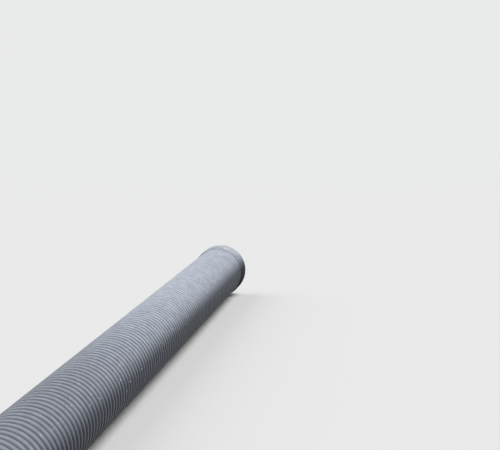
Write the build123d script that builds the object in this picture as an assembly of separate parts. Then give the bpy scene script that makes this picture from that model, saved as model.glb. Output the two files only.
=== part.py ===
from build123d import *
import os

# Double-wall corrugated drain pipe, one length of stock, in millimetres.
# Its axis runs along X and it lies on the plane Z = 0, with the origin under the middle of its length.
# The socket is at the +X end and the sawn spigot end is at the -X end.

# Whole pipe
pipe_length = 3000.0
crest_diameter = 200.0
wall_height = 12.0

# One corrugation: a flat crest and a groove with two sloping flanks
crest_width = 13.2
groove_width = 13.2
wall_under_groove = 2.4

# Socket, which takes the spigot end of the next pipe
socket_depth = 76.0
socket_clearance = 0.8
socket_wall = 4.0
socket_lip_chamfer = 1.6
socket_lead_in = 2.0
shoulder_length = 14.0
collar_length = 4.0

# What follows from the sizes above
crest_radius = crest_diameter / 2
bore_radius = crest_radius - wall_height
groove_radius = bore_radius + wall_under_groove
rib_pitch = crest_width + groove_width
socket_bore_radius = crest_radius + socket_clearance
socket_outer_radius = socket_bore_radius + socket_wall

# Stations along the axis
spigot_face = -pipe_length / 2
socket_face = pipe_length / 2
socket_floor = socket_face - socket_depth
shoulder_foot = socket_floor - shoulder_length
rib_count = int((shoulder_foot - collar_length - spigot_face) // rib_pitch)


def rib_points(start):
    """One flat-topped rib and the bottom of the groove after it, from the groove bottom at start."""
    crest_start = start + groove_width / 2
    return [
        (crest_start, crest_radius),
        (crest_start + crest_width, crest_radius),
        (start + rib_pitch, groove_radius),
    ]


def outer_points():
    """Outside of the wall from the spigot face to the socket face."""
    points = [(spigot_face, groove_radius)]
    for index in range(rib_count):
        points += rib_points(spigot_face + index * rib_pitch)
    points += [
        (shoulder_foot, groove_radius),
        (socket_floor, socket_outer_radius),
        (socket_face - socket_lip_chamfer, socket_outer_radius),
        (socket_face, socket_outer_radius - socket_lip_chamfer),
    ]
    return points


def inner_points():
    """Inside of the wall from the socket face back to the spigot face."""
    return [
        (socket_face, socket_bore_radius + socket_lead_in),
        (socket_face - socket_lead_in, socket_bore_radius),
        (socket_floor, socket_bore_radius),
        (shoulder_foot, bore_radius),
        (spigot_face, bore_radius),
    ]


def make_pipe():
    """One moulded piece: the wall's section is turned about the pipe's axis."""
    with BuildPart() as pipe:
        with BuildSketch(Plane.XZ):
            with BuildLine():
                Polyline(*outer_points(), *inner_points(), close=True)
            make_face()
        revolve(axis=Axis.X)
    return Pos(0, 0, socket_outer_radius) * pipe.part


os.makedirs("parts", exist_ok=True)
export_step(make_pipe(), "parts/pipe.step")
print("ribs", rib_count, "pitch", rib_pitch)
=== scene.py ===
"""Looks of one length of double-wall corrugated drain pipe with a socket.

The pipe's axis runs along X, the socket is at the +X end and the sawn end at the -X end.
All lengths are in metres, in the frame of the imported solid.
"""

import logging
import math
from collections.abc import Callable, Iterable
from dataclasses import dataclass, field
from enum import Enum

import bmesh
import bpy
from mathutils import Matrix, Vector


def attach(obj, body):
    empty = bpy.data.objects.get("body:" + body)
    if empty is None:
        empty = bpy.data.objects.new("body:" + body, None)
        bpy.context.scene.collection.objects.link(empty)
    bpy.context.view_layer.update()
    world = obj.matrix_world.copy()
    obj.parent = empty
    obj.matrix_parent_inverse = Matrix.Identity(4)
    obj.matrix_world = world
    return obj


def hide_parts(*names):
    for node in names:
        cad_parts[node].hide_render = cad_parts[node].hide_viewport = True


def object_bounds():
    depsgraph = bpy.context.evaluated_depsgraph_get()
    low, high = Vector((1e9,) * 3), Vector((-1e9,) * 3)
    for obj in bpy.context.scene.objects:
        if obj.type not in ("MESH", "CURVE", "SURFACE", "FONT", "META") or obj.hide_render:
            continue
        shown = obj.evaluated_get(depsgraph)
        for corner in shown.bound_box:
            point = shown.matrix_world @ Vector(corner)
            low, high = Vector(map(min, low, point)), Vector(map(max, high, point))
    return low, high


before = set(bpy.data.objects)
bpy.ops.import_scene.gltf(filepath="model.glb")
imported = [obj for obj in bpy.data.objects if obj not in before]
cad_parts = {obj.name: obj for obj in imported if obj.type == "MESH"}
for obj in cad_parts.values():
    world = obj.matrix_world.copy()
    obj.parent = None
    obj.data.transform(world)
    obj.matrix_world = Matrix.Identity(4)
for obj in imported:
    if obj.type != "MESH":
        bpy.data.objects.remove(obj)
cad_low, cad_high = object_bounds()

Color = tuple[float, float, float]
Place = tuple[float, float, float]
Span = tuple[float, float]
Node = bpy.types.Node
NodeSocket = bpy.types.NodeSocket
NodeTree = bpy.types.NodeTree

CAD_NODE = "pipe"
BODY = "root"
TOLERANCE = 1e-4
MERGE_DISTANCE = 2e-5
ROUND_PROFILE = 0.5
SMOOTH_ANGLE = 35.0
LAMP_HEIGHT = 4.0

# How nodes are laid out in the node editor
NODE_WIDTH = 200.0
NODE_HEIGHT = 280.0
NODES_IN_ROW = 12

# The sockets that a Mix node uses for colours
MIX_SHARE = 0
MIX_FIRST = 6
MIX_SECOND = 7
MIX_RESULT = 2

log = logging.getLogger("pipe")


class Zone(Enum):
    """Which finish a face of the pipe wears, as the number of its material slot."""

    WALL = 0
    LINER = 1


class Socket(Enum):
    """The kinds of socket that a node group has."""

    NUMBER = "NodeSocketFloat"
    VECTOR = "NodeSocketVector"
    COLOR = "NodeSocketColor"


# Mesh handling


def deselect_all() -> None:
    """Leave edit mode if it is on, and deselect every object."""
    if bpy.context.object and bpy.context.object.mode != "OBJECT":
        bpy.ops.object.mode_set(mode="OBJECT")
    bpy.ops.object.select_all(action="DESELECT")


def make_active(piece: bpy.types.Object) -> None:
    """Make one piece the only selected and the active object.

    Args:
        piece: The object to work on next.
    """
    deselect_all()
    piece.select_set(True)
    bpy.context.view_layer.objects.active = piece


def select_edges(piece: bpy.types.Object, wanted: Callable[[Vector, Vector], bool]) -> None:
    """Select the edges whose two ends pass a test, in edit mode.

    Args:
        piece: The object that is in edit mode.
        wanted: Takes an edge's two ends and says whether the edge is selected.
    """
    bpy.ops.mesh.select_mode(type="EDGE")
    bpy.ops.mesh.select_all(action="DESELECT")
    mesh = bmesh.from_edit_mesh(piece.data)
    found = [edge for edge in mesh.edges if wanted(edge.verts[0].co, edge.verts[1].co)]
    for edge in found:
        edge.select_set(True)
    mesh.select_flush_mode()
    bmesh.update_edit_mesh(piece.data)


def select_faces(piece: bpy.types.Object, wanted: Callable[[Vector], bool]) -> None:
    """Select the faces whose centre passes a test, in edit mode.

    Args:
        piece: The object that is in edit mode.
        wanted: Takes a face's centre and says whether the face is selected.
    """
    bpy.ops.mesh.select_mode(type="FACE")
    bpy.ops.mesh.select_all(action="DESELECT")
    mesh = bmesh.from_edit_mesh(piece.data)
    found = [face for face in mesh.faces if wanted(face.calc_center_median())]
    for face in found:
        face.select_set(True)
    bmesh.update_edit_mesh(piece.data)


@dataclass
class Turning:
    """A round shell about the pipe's axis, drawn out of a circle ring by ring.

    Attributes:
        name: The object's name.
        axis_height: Height of the pipe's axis above the floor.
        segments: How many edges each ring has.
        station: Where the last ring stands along X.
        radius: The last ring's radius.
        piece: The shell itself, once it has its first ring.
    """

    name: str
    axis_height: float
    segments: int
    station: float
    radius: float
    piece: bpy.types.Object | None = None

    def start(self) -> None:
        """Add the first ring as a circle and open it for editing."""
        deselect_all()
        bpy.ops.mesh.primitive_circle_add(
            vertices=self.segments,
            radius=self.radius,
            fill_type="NOTHING",
            location=(self.station, 0.0, self.axis_height),
            rotation=(0.0, math.pi / 2, 0.0),
        )
        self.piece = bpy.context.object
        self.piece.name = self.name
        self.piece.data.name = self.name
        bpy.ops.object.transform_apply(location=True, rotation=True, scale=True)
        bpy.ops.object.mode_set(mode="EDIT")
        bpy.ops.mesh.select_mode(type="EDGE")
        bpy.ops.mesh.select_all(action="SELECT")

    def grow(self, station: float, radius: float) -> None:
        """Extrude the last ring to a new place and bring it to a new radius.

        Args:
            station: Where the new ring stands along X.
            radius: The new ring's radius.
        """
        bpy.ops.mesh.extrude_edges_move(
            TRANSFORM_OT_translate={"value": (station - self.station, 0.0, 0.0)}
        )
        ratio = radius / self.radius
        bpy.ops.transform.resize(
            value=(1.0, ratio, ratio), center_override=(station, 0.0, self.axis_height)
        )
        self.station = station
        self.radius = radius

    def grow_through(self, rings: Iterable[tuple[float, float]]) -> None:
        """Extrude through several rings in order.

        Args:
            rings: The station and radius of each ring.
        """
        for station, radius in rings:
            self.grow(station, radius)

    def round_ring(self, station: float, radius: float, size: float, steps: int) -> None:
        """Bevel the ring of edges at one station and radius.

        Args:
            station: Where the ring stands along X.
            radius: The ring's radius.
            size: The width of the bevel.
            steps: How many faces the bevel has.
        """

        def on_ring(point: Vector) -> bool:
            """Whether a point lies on the ring."""
            reach = math.hypot(point.y, point.z - self.axis_height)
            return abs(point.x - station) < TOLERANCE and abs(reach - radius) < TOLERANCE

        select_edges(self.piece, lambda a, b: on_ring(a) and on_ring(b))
        bpy.ops.mesh.bevel(offset=size, segments=steps, profile=ROUND_PROFILE, affect="EDGES")

    def close(self) -> bpy.types.Object:
        """Leave edit mode.

        Returns:
            The finished shell.
        """
        bpy.ops.object.mode_set(mode="OBJECT")
        return self.piece


# Node trees


@dataclass
class Sheet:
    """Short ways to place and join nodes in one node tree.

    Attributes:
        tree: The node tree that the nodes go into.
        column: How many nodes have been placed, which spaces them out.
    """

    tree: NodeTree
    column: int = 0

    def add(self, kind: str, **settings: object) -> Node:
        """Place one node.

        Args:
            kind: Blender's name of the node's type.
            settings: Properties to set on the node.

        Returns:
            The new node.
        """
        node = self.tree.nodes.new(kind)
        row, place = divmod(self.column, NODES_IN_ROW)
        node.location = (NODE_WIDTH * place, -NODE_HEIGHT * row)
        self.column += 1
        for name, value in settings.items():
            setattr(node, name, value)
        return node

    def feed(self, target: NodeSocket, source: object) -> None:
        """Give an input a link from a socket, or a plain value.

        Args:
            target: The input.
            source: An output socket, a number, a vector or a colour.
        """
        if isinstance(source, NodeSocket):
            self.tree.links.new(source, target)
        elif isinstance(source, tuple) and target.type == "RGBA":
            target.default_value = (*source, 1.0)
        else:
            target.default_value = source

    def math(self, operation: str, first: object, second: object = 0.0) -> NodeSocket:
        """Place a Math node.

        Args:
            operation: What the node works out.
            first: Its first input.
            second: Its second input.

        Returns:
            The result.
        """
        node = self.add("ShaderNodeMath", operation=operation)
        self.feed(node.inputs[0], first)
        if len(node.inputs) > 1:
            self.feed(node.inputs[1], second)
        return node.outputs[0]

    def span(
        self, value: object, low: float, high: float, to_low: float = 0.0, to_high: float = 1.0
    ) -> NodeSocket:
        """Map a value smoothly from one range to another.

        Args:
            value: What is mapped.
            low: Where the range starts.
            high: Where the range ends.
            to_low: The result at low.
            to_high: The result at high.

        Returns:
            The mapped value.
        """
        node = self.add("ShaderNodeMapRange", interpolation_type="SMOOTHSTEP")
        for target, source in zip(node.inputs[:5], (value, low, high, to_low, to_high)):
            self.feed(target, source)
        return node.outputs["Result"]

    def mix(
        self, share: object, first: object, second: object, blend: str = "MIX"
    ) -> NodeSocket:
        """Mix two colours.

        Args:
            share: How much of the second colour shows.
            first: The first colour.
            second: The second colour.
            blend: How the second colour goes onto the first.

        Returns:
            The mixed colour.
        """
        node = self.add("ShaderNodeMix", data_type="RGBA", blend_type=blend)
        self.feed(node.inputs[MIX_SHARE], share)
        self.feed(node.inputs[MIX_FIRST], first)
        self.feed(node.inputs[MIX_SECOND], second)
        return node.outputs[MIX_RESULT]

    def noise(
        self, vector: NodeSocket, scale: object, detail: float, roughness: float = 0.5
    ) -> NodeSocket:
        """Place a Noise Texture.

        Args:
            vector: The coordinates that it reads.
            scale: Its scale.
            detail: How many finer layers it has.
            roughness: How strong the finer layers are.

        Returns:
            Its value, about 0.5 on average.
        """
        node = self.add("ShaderNodeTexNoise")
        self.feed(node.inputs["Vector"], vector)
        self.feed(node.inputs["Scale"], scale)
        node.inputs["Detail"].default_value = detail
        node.inputs["Roughness"].default_value = roughness
        return node.outputs["Fac"]

    def place(self, group: NodeTree, **inputs: object) -> Node:
        """Place a node group and fill its inputs.

        Args:
            group: The group.
            inputs: Its inputs by name, with _ for a space.

        Returns:
            The group's node.
        """
        node = self.add("ShaderNodeGroup", node_tree=group)
        for name, source in inputs.items():
            self.feed(node.inputs[name.replace("_", " ")], source)
        return node


def new_group(
    name: str, inputs: dict[str, tuple[Socket, object]], outputs: dict[str, Socket]
) -> tuple[Sheet, Node, Node]:
    """Start a shader node group.

    Args:
        name: The group's name.
        inputs: Each input's kind and default value.
        outputs: Each output's kind.

    Returns:
        The sheet to place nodes on, the group's input node and its output node.
    """
    group = bpy.data.node_groups.new(name, "ShaderNodeTree")
    for label, (kind, value) in inputs.items():
        made = group.interface.new_socket(name=label, in_out="INPUT", socket_type=kind.value)
        if kind is Socket.COLOR:
            made.default_value = (*value, 1.0)
        elif kind is Socket.NUMBER:
            made.default_value = value
    for label, kind in outputs.items():
        group.interface.new_socket(name=label, in_out="OUTPUT", socket_type=kind.value)
    sheet = Sheet(group)
    return sheet, sheet.add("NodeGroupInput"), sheet.add("NodeGroupOutput")


@dataclass(frozen=True)
class GrimeEffect:
    """Cloudy dirt that breaks up a plain colour.

    Attributes:
        broad: Detail and roughness of the broad clouds.
        fine: Detail and roughness of the fine clouds.
        fine_ratio: How much finer the fine clouds are than the broad ones.
        fine_share: How much the fine clouds add to the broad ones.
        clouds: Between which sums of the two the dirt sets in.
    """

    broad: Span = (5.0, 0.6)
    fine: Span = (4.0, 0.65)
    fine_ratio: float = 7.3
    fine_share: float = 0.5
    clouds: Span = (0.6, 0.95)

    def build(self) -> NodeTree:
        """Make the group.

        Returns:
            The group. It puts out the coloured surface and the dirt's mask.
        """
        sheet, given, made = new_group(
            "Grime",
            {
                "Vector": (Socket.VECTOR, None),
                "Color": (Socket.COLOR, (0.5, 0.5, 0.5)),
                "Grime Color": (Socket.COLOR, (0.2, 0.2, 0.2)),
                "Amount": (Socket.NUMBER, 0.3),
                "Scale": (Socket.NUMBER, 6.0),
            },
            {"Color": Socket.COLOR, "Mask": Socket.NUMBER},
        )
        vector = given.outputs["Vector"]
        scale = given.outputs["Scale"]
        broad = sheet.noise(vector, scale, *self.broad)
        fine_scale = sheet.math("MULTIPLY", scale, self.fine_ratio)
        fine = sheet.noise(vector, fine_scale, *self.fine)
        both = sheet.math("ADD", broad, sheet.math("MULTIPLY", fine, self.fine_share))
        clouds = sheet.span(both, *self.clouds)
        mask = sheet.math("MULTIPLY", clouds, given.outputs["Amount"])
        sheet.feed(made.inputs["Mask"], mask)
        sheet.feed(
            made.inputs["Color"],
            sheet.mix(mask, given.outputs["Color"], given.outputs["Grime Color"]),
        )
        return sheet.tree


@dataclass(frozen=True)
class DustEffect:
    """Pale dust that settles on what faces up.

    On the pipe's wall, the pale top and the dark sides it leaves are partly painted light and
    shade.

    Attributes:
        facing: Between which facings the dust sets in.
        clouds: Detail and roughness of the clouds that break it up.
        patches: Between which values of the clouds a patch sets in.
        cover: How much dust lies between the patches and on them.
    """

    facing: Span = (0.08, 0.70)
    clouds: Span = (6.0, 0.7)
    patches: Span = (0.32, 0.66)
    cover: Span = (0.72, 1.0)

    def build(self) -> NodeTree:
        """Make the group.

        Returns:
            The group. It puts out the coloured surface and its roughness.
        """
        sheet, given, made = new_group(
            "Settled Dust",
            {
                "Vector": (Socket.VECTOR, None),
                "Facing": (Socket.NUMBER, 1.0),
                "Color": (Socket.COLOR, (0.5, 0.5, 0.5)),
                "Dust Color": (Socket.COLOR, (0.6, 0.6, 0.6)),
                "Amount": (Socket.NUMBER, 0.3),
                "Scale": (Socket.NUMBER, 20.0),
                "Clean Roughness": (Socket.NUMBER, 0.4),
                "Dusty Roughness": (Socket.NUMBER, 0.8),
            },
            {"Color": Socket.COLOR, "Roughness": Socket.NUMBER},
        )
        facing = sheet.span(given.outputs["Facing"], *self.facing)
        clouds = sheet.noise(given.outputs["Vector"], given.outputs["Scale"], *self.clouds)
        patches = sheet.span(clouds, *self.patches, *self.cover)
        mask = sheet.math(
            "MULTIPLY", sheet.math("MULTIPLY", facing, patches), given.outputs["Amount"]
        )
        sheet.feed(
            made.inputs["Color"],
            sheet.mix(mask, given.outputs["Color"], given.outputs["Dust Color"]),
        )
        rough = sheet.add("ShaderNodeMapRange")
        sheet.feed(rough.inputs[0], mask)
        sheet.feed(rough.inputs["To Min"], given.outputs["Clean Roughness"])
        sheet.feed(rough.inputs["To Max"], given.outputs["Dusty Roughness"])
        sheet.feed(made.inputs["Roughness"], rough.outputs["Result"])
        return sheet.tree


@dataclass(frozen=True)
class SpecksEffect:
    """Small drops and crumbs, scattered thinly.

    Attributes:
        noise: Scale and detail of what makes their edges ragged.
        ragged: Between which of its values the size of a speck changes.
        sizes: The smallest and the largest size, as shares of the size that is asked for.
        core: Which share of a speck is full.
    """

    noise: Span = (240.0, 2.0)
    ragged: Span = (0.3, 0.7)
    sizes: Span = (0.5, 1.5)
    core: float = 0.6

    def build(self) -> NodeTree:
        """Make the group.

        Returns:
            The group. It puts out a mask that is 1 on a speck.
        """
        sheet, given, made = new_group(
            "Specks",
            {
                "Vector": (Socket.VECTOR, None),
                "Scale": (Socket.NUMBER, 15.0),
                "Size": (Socket.NUMBER, 0.05),
                "Share": (Socket.NUMBER, 0.2),
            },
            {"Mask": Socket.NUMBER},
        )
        cells = sheet.add("ShaderNodeTexVoronoi")
        sheet.feed(cells.inputs["Vector"], given.outputs["Vector"])
        sheet.feed(cells.inputs["Scale"], given.outputs["Scale"])
        ragged = sheet.noise(given.outputs["Vector"], *self.noise)
        size = sheet.span(ragged, *self.ragged, *self.sizes)
        edge = sheet.math("MULTIPLY", given.outputs["Size"], size)
        full = sheet.math("MULTIPLY", edge, self.core)
        near = sheet.span(cells.outputs["Distance"], edge, full)
        lot = sheet.add("ShaderNodeSeparateColor")
        sheet.feed(lot.inputs[0], cells.outputs["Color"])
        chosen = sheet.math("LESS_THAN", lot.outputs[0], given.outputs["Share"])
        sheet.feed(made.inputs["Mask"], sheet.math("MULTIPLY", near, chosen))
        return sheet.tree


@dataclass(frozen=True)
class GrainEffect:
    """The faint unevenness of a moulded plastic skin.

    Attributes:
        broad_detail: How many finer layers the broad grain has.
        fine_ratio: How much finer the fine grain is than the broad one.
        fine_detail: How many finer layers the fine grain has.
        fine_share: How much the fine grain adds to the broad one.
    """

    broad_detail: float = 3.0
    fine_ratio: float = 9.0
    fine_detail: float = 2.0
    fine_share: float = 0.25

    def build(self) -> NodeTree:
        """Make the group.

        Returns:
            The group. It puts out a height for a Bump node.
        """
        sheet, given, made = new_group(
            "Skin Grain",
            {"Vector": (Socket.VECTOR, None), "Scale": (Socket.NUMBER, 60.0)},
            {"Height": Socket.NUMBER},
        )
        vector = given.outputs["Vector"]
        broad = sheet.noise(vector, given.outputs["Scale"], self.broad_detail)
        fine_scale = sheet.math("MULTIPLY", given.outputs["Scale"], self.fine_ratio)
        fine = sheet.noise(vector, fine_scale, self.fine_detail)
        height = sheet.math("ADD", broad, sheet.math("MULTIPLY", fine, self.fine_share))
        sheet.feed(made.inputs["Height"], height)
        return sheet.tree


@dataclass
class Effects:
    """The node groups that the finishes share, each built once."""

    grime: NodeTree = field(default_factory=GrimeEffect().build)
    dust: NodeTree = field(default_factory=DustEffect().build)
    specks: NodeTree = field(default_factory=SpecksEffect().build)
    grain: NodeTree = field(default_factory=GrainEffect().build)


def new_material(name: str) -> tuple[bpy.types.Material, Sheet, Node]:
    """Start a material.

    Args:
        name: The material's name.

    Returns:
        The material, the sheet to place nodes on, and its Principled shader.
    """
    material = bpy.data.materials.new(name)
    material.use_nodes = True
    material.node_tree.nodes.clear()
    sheet = Sheet(material.node_tree)
    shader = sheet.add("ShaderNodeBsdfPrincipled")
    output = sheet.add("ShaderNodeOutputMaterial")
    sheet.feed(output.inputs["Surface"], shader.outputs["BSDF"])
    return material, sheet, shader


def add_bump(sheet: Sheet, shader: Node, height: NodeSocket, relief: Span) -> None:
    """Let a height raise a shader's surface.

    Args:
        sheet: The sheet to place the node on.
        shader: The shader.
        height: The height that is drawn.
        relief: How strongly it shows, and how far a height of 1 rises.
    """
    bump = sheet.add("ShaderNodeBump")
    bump.inputs["Strength"].default_value = relief[0]
    bump.inputs["Distance"].default_value = relief[1]
    sheet.feed(bump.inputs["Height"], height)
    sheet.feed(shader.inputs["Normal"], bump.outputs["Normal"])


# Finishes


@dataclass(frozen=True)
class WallFinish:
    """Dusty satin grey polyethylene, with painted shade down in the grooves.

    Its pale top and dark sides are partly dust and partly painted light and shade.

    A facing is 1 on top of the pipe, 0 at its sides and -1 underneath.

    Attributes:
        axis_height: Height of the pipe's axis above the floor.
        crest_radius: Radius on a crest.
        band_start: Where the socket band starts along X.
        band_fade: How far down the shoulder the band's finish reaches.
        clean_color: The plastic where no dust lies; how dark it is on the sides and underneath is
            partly painted shade.
        dirt_color: Dirt that clouds the plastic.
        dirt_amount: How much of the dirt shows.
        dirt_scale: How fine the dirt's clouds are.
        mirror_level: How strongly the dusty plastic mirrors, where 0.5 is clean plastic.
        roughness: Roughness where no dust lies and where it lies.
        dust_color: Dry dust, made lighter as partly painted sheen on top.
        dust_scale: How fine the dust's patches are.
        dusty_stretch: From where to where along X dust and the grooves' painted shade grow.
        dust_amount: How much dust lies before and after that stretch.
        groove_shade: How strong the grooves' painted shade is before and after it.
        crest_edge: How far below the crests the grooves' shade starts.
        shade_depth: How much deeper the shade is full.
        groove_shade_tint: How much of each colour the painted shade leaves down in a groove.
        band_tint: How much of each colour is left on the socket band, partly as painted shade.
        steep_shade_tint: How much of each colour is left on its steep sides, as painted shade.
        steep_facing: Between which facings one tint passes into the other.
        band_roughness: How much rougher the socket band is.
        scuff_color: Whitish scuffs on the socket band.
        scuff_scale: How fine they are.
        scuff_facing: Between which facings they grow stronger, which lightens the band's top as
            partly painted light.
        scuff_amount: How strong they are below and above those.
        speck_color: Pale drops and crumbs.
        speck_scale: How close together they can lie.
        speck_size: How large they are.
        speck_share: Which share of their places holds one.
        speck_stretch: Factors on the coordinates, which draw them long.
        speck_start: Between which facings they set in.
        speck_facing: Between which facings they grow fainter.
        speck_strength: How strong they are below and above those.
        grain_scale: How fine the skin's grain is.
        relief: How strongly it shows and how deep it is.
    """

    axis_height: float
    crest_radius: float
    band_start: float
    band_fade: float = 0.007
    clean_color: Color = (0.100, 0.108, 0.132)
    dirt_color: Color = (0.086, 0.093, 0.108)
    dirt_amount: float = 0.42
    dirt_scale: float = 7.0
    mirror_level: float = 0.10
    roughness: Span = (0.40, 0.55)
    dust_color: Color = (0.645, 0.689, 0.772)
    dust_scale: float = 34.0
    dusty_stretch: Span = (-1.07, 0.6)
    dust_amount: Span = (0.375, 0.94)
    groove_shade: Span = (0.46, 1.0)
    crest_edge: float = 0.0004
    shade_depth: float = 0.0028
    # Painted shade: this tint darkens the grooves.
    groove_shade_tint: Color = (0.42, 0.435, 0.51)
    band_tint: Color = (0.62, 0.63, 0.65)
    steep_shade_tint: Color = (0.42, 0.43, 0.45)
    steep_facing: Span = (0.12, 0.5)
    band_roughness: float = 0.5
    scuff_color: Color = (0.76, 0.79, 0.83)
    scuff_scale: float = 60.0
    scuff_facing: Span = (0.38, 0.9)
    scuff_amount: Span = (0.0, 0.8)
    speck_color: Color = (0.66, 0.69, 0.73)
    speck_scale: float = 47.0
    speck_size: float = 0.14
    speck_share: float = 0.9
    speck_stretch: Place = (0.6, 1.0, 1.0)
    speck_start: Span = (-0.08, 0.08)
    speck_facing: Span = (0.3, 0.8)
    speck_strength: Span = (1.0, 0.3)
    grain_scale: float = 45.0
    relief: Span = (0.25, 0.0006)

    def build(self, effects: Effects) -> bpy.types.Material:
        """Make the material.

        Args:
            effects: The shared node groups.

        Returns:
            The material.
        """
        material, sheet, shader = new_material("satin_grey_wall")
        shader.inputs["Specular IOR Level"].default_value = self.mirror_level
        place = sheet.add("ShaderNodeTexCoord").outputs["Object"]
        parts = sheet.add("ShaderNodeSeparateXYZ")
        sheet.feed(parts.inputs[0], place)
        level = sheet.math("SUBTRACT", parts.outputs["Z"], self.axis_height)
        square = sheet.math(
            "ADD",
            sheet.math("MULTIPLY", parts.outputs["Y"], parts.outputs["Y"]),
            sheet.math("MULTIPLY", level, level),
        )
        reach = sheet.math("SQRT", square)
        facing = sheet.math("DIVIDE", level, reach)
        amount = sheet.span(parts.outputs["X"], *self.dusty_stretch, *self.dust_amount)
        grime = sheet.place(
            effects.grime,
            Vector=place,
            Color=self.clean_color,
            Grime_Color=self.dirt_color,
            Amount=self.dirt_amount,
            Scale=self.dirt_scale,
        )
        # Partly painted light and shade: the dust lies pale on what faces up and leaves the sides
        # dark.
        dust = sheet.place(
            effects.dust,
            Vector=place,
            Facing=facing,
            Color=grime.outputs["Color"],
            Dust_Color=self.dust_color,
            Amount=amount,
            Scale=self.dust_scale,
            Clean_Roughness=self.roughness[0],
            Dusty_Roughness=self.roughness[1],
        )
        # Painted shade: the grooves darken below the crests, more strongly towards the socket end.
        top = self.crest_radius - self.crest_edge
        depth = sheet.span(reach, top, top - self.shade_depth)
        shade = sheet.span(parts.outputs["X"], *self.dusty_stretch, *self.groove_shade)
        depth = sheet.math("MULTIPLY", depth, shade)
        shaded = sheet.mix(depth, dust.outputs["Color"], self.groove_shade_tint, "MULTIPLY")
        # Painted shade on the socket band: darker all over and darkest on its steep sides, with
        # its pale scuffs kept on top as partly painted light.
        on_band = sheet.span(parts.outputs["X"], self.band_start - self.band_fade, self.band_start)
        on_top = sheet.span(facing, *self.scuff_facing, *self.scuff_amount)
        up = sheet.span(facing, *self.steep_facing)
        tint = sheet.mix(up, self.steep_shade_tint, self.band_tint)
        band = sheet.mix(on_band, shaded, tint, "MULTIPLY")
        scuffs = sheet.place(
            effects.grime,
            Vector=place,
            Color=band,
            Grime_Color=self.scuff_color,
            Amount=sheet.math("MULTIPLY", on_band, on_top),
            Scale=self.scuff_scale,
        )
        bare = sheet.math(
            "MULTIPLY",
            sheet.span(facing, *self.speck_start),
            sheet.span(facing, *self.speck_facing, *self.speck_strength),
        )
        along = sheet.add("ShaderNodeVectorMath", operation="MULTIPLY")
        sheet.feed(along.inputs[0], place)
        sheet.feed(along.inputs[1], self.speck_stretch)
        specks = sheet.place(
            effects.specks,
            Vector=along.outputs[0],
            Scale=self.speck_scale,
            Size=self.speck_size,
            Share=self.speck_share,
        )
        speckled = sheet.math("MULTIPLY", specks.outputs["Mask"], bare)
        color = sheet.mix(speckled, scuffs.outputs["Color"], self.speck_color)
        sheet.feed(shader.inputs["Base Color"], color)
        worn = sheet.math("MULTIPLY", on_band, self.band_roughness)
        roughness = sheet.math("ADD", dust.outputs["Roughness"], worn)
        sheet.feed(shader.inputs["Roughness"], roughness)
        grain = sheet.place(effects.grain, Vector=place, Scale=self.grain_scale)
        add_bump(sheet, shader, grain.outputs["Height"], self.relief)
        return material


@dataclass(frozen=True)
class LinerFinish:
    """Smooth cream-grey inner wall with a faint wave under each rib.

    Attributes:
        rib_pitch: Distance from one rib to the next.
        color: The clean plastic.
        stain_color: Silt and water marks.
        stain_amount: How much of them shows.
        stain_scale: How fine they are.
        dust_color: Dry dust along the bottom.
        dust_amount: How much of it lies there.
        dust_scale: How fine its patches are.
        roughness: Roughness where no dust lies and where it lies.
        wave_height: Height of the wave, against the grain.
        grain_scale: How fine the skin's grain is.
        relief: How strongly wave and grain show and how deep they are.
    """

    rib_pitch: float
    color: Color = (0.66, 0.66, 0.60)
    stain_color: Color = (0.40, 0.39, 0.35)
    stain_amount: float = 0.25
    stain_scale: float = 3.5
    dust_color: Color = (0.45, 0.43, 0.38)
    dust_amount: float = 0.35
    dust_scale: float = 12.0
    roughness: Span = (0.3, 0.65)
    wave_height: float = 0.5
    grain_scale: float = 30.0
    relief: Span = (0.5, 0.0004)

    def build(self, effects: Effects) -> bpy.types.Material:
        """Make the material.

        Args:
            effects: The shared node groups.

        Returns:
            The material.
        """
        material, sheet, shader = new_material("smooth_cream_liner")
        spot = sheet.add("ShaderNodeTexCoord")
        place = spot.outputs["Object"]
        grime = sheet.place(
            effects.grime,
            Vector=place,
            Color=self.color,
            Grime_Color=self.stain_color,
            Amount=self.stain_amount,
            Scale=self.stain_scale,
        )
        upward = sheet.add("ShaderNodeSeparateXYZ")
        sheet.feed(upward.inputs[0], spot.outputs["Normal"])
        dust = sheet.place(
            effects.dust,
            Vector=place,
            Facing=upward.outputs["Z"],
            Color=grime.outputs["Color"],
            Dust_Color=self.dust_color,
            Amount=self.dust_amount,
            Scale=self.dust_scale,
            Clean_Roughness=self.roughness[0],
            Dusty_Roughness=self.roughness[1],
        )
        sheet.feed(shader.inputs["Base Color"], dust.outputs["Color"])
        sheet.feed(shader.inputs["Roughness"], dust.outputs["Roughness"])
        parts = sheet.add("ShaderNodeSeparateXYZ")
        sheet.feed(parts.inputs[0], place)
        turns = sheet.math("MULTIPLY", parts.outputs["X"], math.tau / self.rib_pitch)
        wave = sheet.math("MULTIPLY", sheet.math("COSINE", turns), self.wave_height)
        grain = sheet.place(effects.grain, Vector=place, Scale=self.grain_scale)
        height = sheet.math("ADD", wave, grain.outputs["Height"])
        add_bump(sheet, shader, height, self.relief)
        return material


# The pipe


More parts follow.
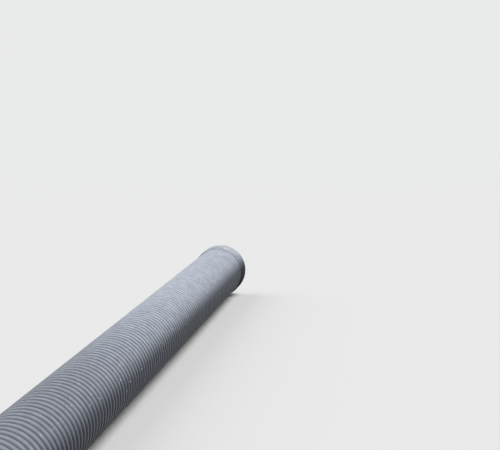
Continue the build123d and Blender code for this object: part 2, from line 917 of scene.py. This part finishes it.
@dataclass
class RibbedBarrel:
    """The corrugated outside of the barrel.

    Attributes:
        start: The sawn end's place along X.
        axis_height: Height of the pipe's axis above the floor.
        segments: How many edges a ring has.
        rib_count: How many ribs there are.
        rib_pitch: Distance from one rib to the next.
        crest_width: Width of a crest between its flanks.
        floor_width: Width of the flat bottom of a groove.
        groove_radius: Radius at the bottom of a groove.
        crest_radius: Radius on a crest.
        crest_rounding: Size of the rounding on a crest's edges.
        crest_steps: How many faces that rounding has.
    """

    start: float
    axis_height: float
    segments: int = 96
    rib_count: int = 110
    rib_pitch: float = 0.0264
    crest_width: float = 0.0136
    floor_width: float = 0.0040
    groove_radius: float = 0.0904
    crest_radius: float = 0.1000
    crest_rounding: float = 0.0024
    crest_steps: int = 2

    @property
    def end(self) -> float:
        """Where the last groove's floor ends along X."""
        return self.start + self.floor_width / 2 + self.rib_count * self.rib_pitch

    def build(self) -> bpy.types.Object:
        """Model one rib and repeat it along the barrel.

        Returns:
            The ribbed shell, open at both ends.
        """
        foot = self.start + self.floor_width / 2
        flank = (self.rib_pitch - self.floor_width - self.crest_width) / 2
        rib = Turning("barrel", self.axis_height, self.segments, foot, self.groove_radius)
        rib.start()
        crest_start = foot + flank
        crest_end = crest_start + self.crest_width
        rib.grow_through(
            [
                (crest_start, self.crest_radius),
                (crest_end, self.crest_radius),
                (crest_end + flank, self.groove_radius),
                (foot + self.rib_pitch, self.groove_radius),
            ]
        )
        for station in (crest_start, crest_end):
            rib.round_ring(station, self.crest_radius, self.crest_rounding, self.crest_steps)
        barrel = rib.close()
        make_active(barrel)
        array = barrel.modifiers.new("ribs", "ARRAY")
        array.count = self.rib_count
        array.use_relative_offset = False
        array.use_constant_offset = True
        array.constant_offset_displace = (self.rib_pitch, 0.0, 0.0)
        array.use_merge_vertices = True
        array.merge_threshold = MERGE_DISTANCE
        bpy.ops.object.modifier_apply(modifier=array.name)
        return barrel


@dataclass
class SocketEnd:
    """The smooth socket that takes the next pipe, outside and inside.

    Attributes:
        start: Where the barrel's last groove ends along X.
        face: The socket face's place along X.
        axis_height: Height of the pipe's axis above the floor.
        segments: How many edges a ring has.
        groove_radius: Radius at the bottom of a groove.
        bore_radius: Radius of the liner.
        outer_radius: Outside radius of the socket band.
        inner_radius: Inside radius of the socket.
        depth: How far the next pipe goes in.
        shoulder: Length of the shoulder between barrel and band.
        shoulder_rounding: Size of the rounding where the shoulder meets the band.
        shoulder_steps: How many faces that rounding has.
        lip_chamfer: Size of the rounded chamfer round the lip.
        lead_in: Size of the rounded chamfer round the mouth.
        mouth_steps: How many faces each of these two has.
        seat_rounding: Size of the rounding at the socket's bottom.
        seat_steps: How many faces that rounding has.
    """

    start: float
    face: float
    axis_height: float
    segments: int = 96
    groove_radius: float = 0.0904
    bore_radius: float = 0.0880
    outer_radius: float = 0.1048
    inner_radius: float = 0.1008
    depth: float = 0.076
    shoulder: float = 0.014
    shoulder_rounding: float = 0.0030
    shoulder_steps: int = 3
    lip_chamfer: float = 0.0016
    lead_in: float = 0.0020
    mouth_steps: int = 4
    seat_rounding: float = 0.0020
    seat_steps: int = 2

    @property
    def floor(self) -> float:
        """Where the socket's bottom is along X."""
        return self.face - self.depth

    @property
    def foot(self) -> float:
        """Where the shoulder starts along X."""
        return self.floor - self.shoulder

    def build(self) -> bpy.types.Object:
        """Draw the socket out of the barrel's last ring, over the lip and back inside.

        Returns:
            The socket's shell, from the last groove round to the liner.
        """
        shell = Turning("socket", self.axis_height, self.segments, self.start, self.groove_radius)
        shell.start()
        shell.grow_through(
            [
                (self.foot, self.groove_radius),
                (self.floor, self.outer_radius),
                (self.face, self.outer_radius),
                (self.face, self.inner_radius),
                (self.floor, self.inner_radius),
                (self.foot, self.bore_radius),
            ]
        )
        outer = self.outer_radius
        inner = self.inner_radius
        shell.round_ring(self.floor, outer, self.shoulder_rounding, self.shoulder_steps)
        shell.round_ring(self.face, outer, self.lip_chamfer, self.mouth_steps)
        shell.round_ring(self.face, inner, self.lead_in, self.mouth_steps)
        shell.round_ring(self.floor, inner, self.seat_rounding, self.seat_steps)
        return shell.close()


@dataclass
class LinerTube:
    """The smooth inner wall of the barrel, with the sawn face at its end.

    Attributes:
        start: The sawn end's place along X.
        foot: Where the socket's inside begins along X.
        axis_height: Height of the pipe's axis above the floor.
        segments: How many edges a ring has.
        bore_radius: Radius of the liner.
        weld_radius: Radius at which liner and outer wall are welded.
        groove_radius: Radius at the bottom of a groove.
        floor_reach: How far the first groove's floor reaches from the sawn face.
        saw_edge: Size of the small chamfer on the sawn edges.
        saw_steps: How many faces that chamfer has.
        bays: How many lengths the tube is divided into.
    """

    start: float
    foot: float
    axis_height: float
    segments: int = 96
    bore_radius: float = 0.0880
    weld_radius: float = 0.0891
    groove_radius: float = 0.0904
    floor_reach: float = 0.0020
    saw_edge: float = 0.0003
    saw_steps: int = 1
    bays: int = 12

    def build(self) -> bpy.types.Object:
        """Draw the liner from the socket to the sawn face and out to the first groove.

        Returns:
            The liner's shell.
        """
        shell = Turning("liner", self.axis_height, self.segments, self.foot, self.bore_radius)
        shell.start()
        bay = (self.foot - self.start) / self.bays
        shell.grow_through(
            (self.foot - bay * number, self.bore_radius) for number in range(1, self.bays)
        )
        shell.grow_through(
            [
                (self.start, self.bore_radius),
                (self.start, self.weld_radius),
                (self.start, self.groove_radius),
                (self.start + self.floor_reach, self.groove_radius),
            ]
        )
        for radius in (self.bore_radius, self.groove_radius):
            shell.round_ring(self.start, radius, self.saw_edge, self.saw_steps)
        return shell.close()


@dataclass
class CorrugatedPipe:
    """The whole pipe: ribbed barrel, socket and liner, welded into one skin.

    Attributes:
        low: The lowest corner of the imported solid.
        high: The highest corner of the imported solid.
    """

    low: Vector
    high: Vector

    def build(self, effects: Effects) -> bpy.types.Object:
        """Build the shells, join them and give each face its finish.

        Args:
            effects: The shared node groups.

        Returns:
            The pipe.
        """
        axis_height = self.high.z - SocketEnd.outer_radius
        barrel = RibbedBarrel(self.low.x, axis_height)
        socket = SocketEnd(barrel.end, self.high.x, axis_height)
        liner = LinerTube(self.low.x, socket.foot, axis_height)
        shells = [barrel.build(), socket.build(), liner.build()]
        pipe = self.weld(shells)
        wall = WallFinish(axis_height, barrel.crest_radius, socket.floor)
        finishes = {
            Zone.WALL: wall.build(effects),
            Zone.LINER: LinerFinish(barrel.rib_pitch).build(effects),
        }
        for zone in Zone:
            pipe.data.materials.append(finishes[zone])
        self.dress_liner(pipe, axis_height, socket, liner)
        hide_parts(CAD_NODE)
        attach(pipe, BODY)
        return pipe

    def weld(self, shells: list[bpy.types.Object]) -> bpy.types.Object:
        """Join the shells, weld their meeting rings and turn every face outwards.

        Args:
            shells: The open shells.

        Returns:
            One closed skin.
        """
        deselect_all()
        for shell in shells:
            shell.select_set(True)
        bpy.context.view_layer.objects.active = shells[0]
        bpy.ops.object.join()
        pipe = bpy.context.object
        pipe.name = "corrugated_pipe"
        pipe.data.name = "corrugated_pipe"
        bpy.ops.object.mode_set(mode="EDIT")
        bpy.ops.mesh.select_all(action="SELECT")
        bpy.ops.mesh.remove_doubles(threshold=MERGE_DISTANCE)
        bpy.ops.mesh.normals_make_consistent(inside=False)
        bpy.ops.object.mode_set(mode="OBJECT")
        bpy.ops.object.shade_smooth_by_angle(angle=math.radians(SMOOTH_ANGLE))
        return pipe

    def dress_liner(
        self, pipe: bpy.types.Object, axis_height: float, socket: SocketEnd, liner: LinerTube
    ) -> None:
        """Give the inside of the pipe and of the socket the liner's finish.

        Args:
            pipe: The pipe.
            axis_height: Height of its axis above the floor.
            socket: The socket, for its place and sizes.
            liner: The liner, for its place and sizes.
        """
        middle = (socket.inner_radius + socket.outer_radius) / 2

        def inside(centre: Vector) -> bool:
            """Whether a face's centre lies on the liner's side of the wall."""
            reach = math.hypot(centre.y, centre.z - axis_height)
            if centre.x < socket.foot:
                return reach < liner.weld_radius
            along = min((centre.x - socket.foot) / socket.shoulder, 1.0)
            return reach < liner.weld_radius + along * (middle - liner.weld_radius)

        make_active(pipe)
        bpy.ops.object.mode_set(mode="EDIT")
        select_faces(pipe, inside)
        pipe.active_material_index = Zone.LINER.value
        bpy.ops.object.material_slot_assign()
        bpy.ops.object.mode_set(mode="OBJECT")


# Floor, light and camera


def mirror_rays(sheet: Sheet, ray: Node) -> NodeSocket:
    """Pick out the rays that a glossy surface mirrors or a clear one lets through.

    Args:
        sheet: The sheet to place nodes on.
        ray: The Light Path node.

    Returns:
        A value that is 1 for such a ray.
    """
    return sheet.math("MAXIMUM", ray.outputs["Is Glossy Ray"], ray.outputs["Is Transmission Ray"])


@dataclass(frozen=True)
class StudioFloor:
    """A plain pale floor that fades into the background far from the pipe.

    Attributes:
        reach: Half the floor's width.
        roughness: The floor's roughness.
        mirror_level: How strongly the floor mirrors.
        color: The floor's colour, seen directly and in mirrors.
        bounce_color: The floor's colour to all other light.
        far_color: The background's colour, seen directly and in mirrors.
        fade_start: How far from the pipe the fade starts.
        fade_end: How far from the pipe the fade ends.
    """

    reach: float = 60.0
    roughness: float = 0.9
    mirror_level: float = 0.2
    color: Color = (0.76, 0.76, 0.75)
    bounce_color: Color = (0.04, 0.04, 0.045)
    far_color: Color = (0.82, 0.825, 0.83)
    fade_start: float = 3.0
    fade_end: float = 12.0

    def build(self) -> bpy.types.Object:
        """Add the floor.

        Returns:
            The floor.
        """
        deselect_all()
        bpy.ops.mesh.primitive_plane_add(size=2 * self.reach, location=(0.0, 0.0, 0.0))
        floor = bpy.context.object
        floor.name = "floor"
        floor.data.materials.append(self.finish())
        return floor

    def finish(self) -> bpy.types.Material:
        """Make the floor's material.

        Returns:
            The material.
        """
        material, sheet, shader = new_material("pale_floor")
        shader.inputs["Roughness"].default_value = self.roughness
        shader.inputs["Specular IOR Level"].default_value = self.mirror_level
        spot = sheet.add("ShaderNodeTexCoord")
        away = sheet.add("ShaderNodeVectorMath", operation="LENGTH")
        sheet.feed(away.inputs[0], spot.outputs["Object"])
        fade = sheet.span(away.outputs["Value"], self.fade_start, self.fade_end)
        ray = sheet.add("ShaderNodeLightPath")
        pale = sheet.math("MAXIMUM", ray.outputs["Is Camera Ray"], mirror_rays(sheet, ray))
        sheet.feed(shader.inputs["Base Color"], sheet.mix(pale, self.bounce_color, self.color))
        share = sheet.math("MULTIPLY", fade, pale)
        glow = sheet.add("ShaderNodeEmission")
        glow.inputs["Color"].default_value = (*self.far_color, 1.0)
        blend = sheet.add("ShaderNodeMixShader")
        sheet.feed(blend.inputs[0], share)
        sheet.feed(blend.inputs[1], shader.outputs["BSDF"])
        sheet.feed(blend.inputs[2], glow.outputs["Emission"])
        output = next(n for n in material.node_tree.nodes if n.type == "OUTPUT_MATERIAL")
        sheet.feed(output.inputs["Surface"], blend.outputs["Shader"])
        return material


@dataclass(frozen=True)
class DistantLamp:
    """One distant lamp with a broad, soft source.

    Attributes:
        name: The lamp's name.
        direction: Where the light comes from, as seen from the pipe.
        strength: The light's strength.
        spread: How wide the light's source looks, in degrees.
    """

    name: str
    direction: Place
    strength: float
    spread: float

    def build(self) -> bpy.types.Object:
        """Add the lamp.

        Returns:
            The lamp.
        """
        deselect_all()
        bpy.ops.object.light_add(type="SUN", location=(0.0, 0.0, LAMP_HEIGHT))
        lamp = bpy.context.object
        lamp.name = self.name
        lamp.data.energy = self.strength
        lamp.data.angle = math.radians(self.spread)
        lamp.rotation_euler = Vector(self.direction).to_track_quat("Z", "Y").to_euler()
        return lamp


@dataclass(frozen=True)
class SoftLight:
    """Broad even light from above and from one side, in a pale surrounding.

    Attributes:
        overhead: The main lamp.
        side: The weaker lamp.
        surround_color: The surrounding's colour as light and in mirrors.
        surround_strength: How strongly the surrounding lights the pipe.
        mirror_strength: How bright the surrounding is in mirrors.
        seen_color: The surrounding's colour to the camera.
    """

    overhead: DistantLamp = DistantLamp(
        name="overhead_light", direction=(-0.05, -0.56, 1.0), strength=2.87, spread=40.0
    )
    side: DistantLamp = DistantLamp(
        name="side_light", direction=(0.1, 1.0, 0.9), strength=0.95, spread=60.0
    )
    surround_color: Color = (0.86, 0.92, 1.0)
    surround_strength: float = 0.08
    mirror_strength: float = 0.86
    seen_color: Color = (0.82, 0.825, 0.83)

    def build(self) -> None:
        """Set the lamps and the surrounding."""
        self.overhead.build()
        self.side.build()
        world = bpy.data.worlds.new("pale_surrounding")
        bpy.context.scene.world = world
        world.use_nodes = True
        world.node_tree.nodes.clear()
        sheet = Sheet(world.node_tree)
        ray = sheet.add("ShaderNodeLightPath")
        lighting = sheet.add("ShaderNodeBackground")
        lighting.inputs["Color"].default_value = (*self.surround_color, 1.0)
        gain = self.mirror_strength - self.surround_strength
        mirrored = sheet.math("MULTIPLY", mirror_rays(sheet, ray), gain)
        strength = sheet.math("ADD", mirrored, self.surround_strength)
        sheet.feed(lighting.inputs["Strength"], strength)
        seen = sheet.add("ShaderNodeBackground")
        seen.inputs["Color"].default_value = (*self.seen_color, 1.0)
        blend = sheet.add("ShaderNodeMixShader")
        sheet.feed(blend.inputs[0], ray.outputs["Is Camera Ray"])
        sheet.feed(blend.inputs[1], lighting.outputs["Background"])
        sheet.feed(blend.inputs[2], seen.outputs["Background"])
        output = sheet.add("ShaderNodeOutputWorld")
        sheet.feed(output.inputs["Surface"], blend.outputs["Shader"])


@dataclass(frozen=True)
class StandingCamera:
    """The camera of someone who stands beside the pipe's sawn end and looks along it.

    Attributes:
        place: Where the camera is.
        tilt: Turn about the camera's own X, in degrees, with 90 level.
        heading: Turn about Z in degrees.
        lens: Focal length in millimetres.
        sensor: Width of the sensor in millimetres.
    """

    place: Place = (-3.6824, -0.8905, 0.9479)
    tilt: float = 82.934
    heading: float = -81.590
    lens: float = 89.18
    sensor: float = 36.0

    def build(self) -> bpy.types.Object:
        """Add the camera and make it the scene's.

        Returns:
            The camera.
        """
        deselect_all()
        turn = (math.radians(self.tilt), 0.0, math.radians(self.heading))
        bpy.ops.object.camera_add(location=self.place, rotation=turn)
        camera = bpy.context.object
        camera.name = "standing_camera"
        camera.data.lens = self.lens
        camera.data.sensor_width = self.sensor
        bpy.context.scene.camera = camera
        return camera


def report(piece: bpy.types.Object) -> None:
    """Log a piece's size.

    Args:
        piece: The piece.
    """
    faces = len(piece.data.polygons)
    size = ", ".join(f"{side:.4f}" for side in piece.dimensions)
    log.info("%s: %d faces, %s m", piece.name, faces, size)


def main() -> None:
    """Build the pipe, then the floor, light and camera."""
    logging.basicConfig(level=logging.INFO, format="%(name)s %(message)s")
    bpy.context.scene.view_settings.view_transform = "Standard"
    effects = Effects()
    pipe = CorrugatedPipe(cad_low, cad_high).build(effects)
    report(pipe)
    report(StudioFloor().build())
    SoftLight().build()
    StandingCamera().build()


if __name__ == "__main__":
    main()
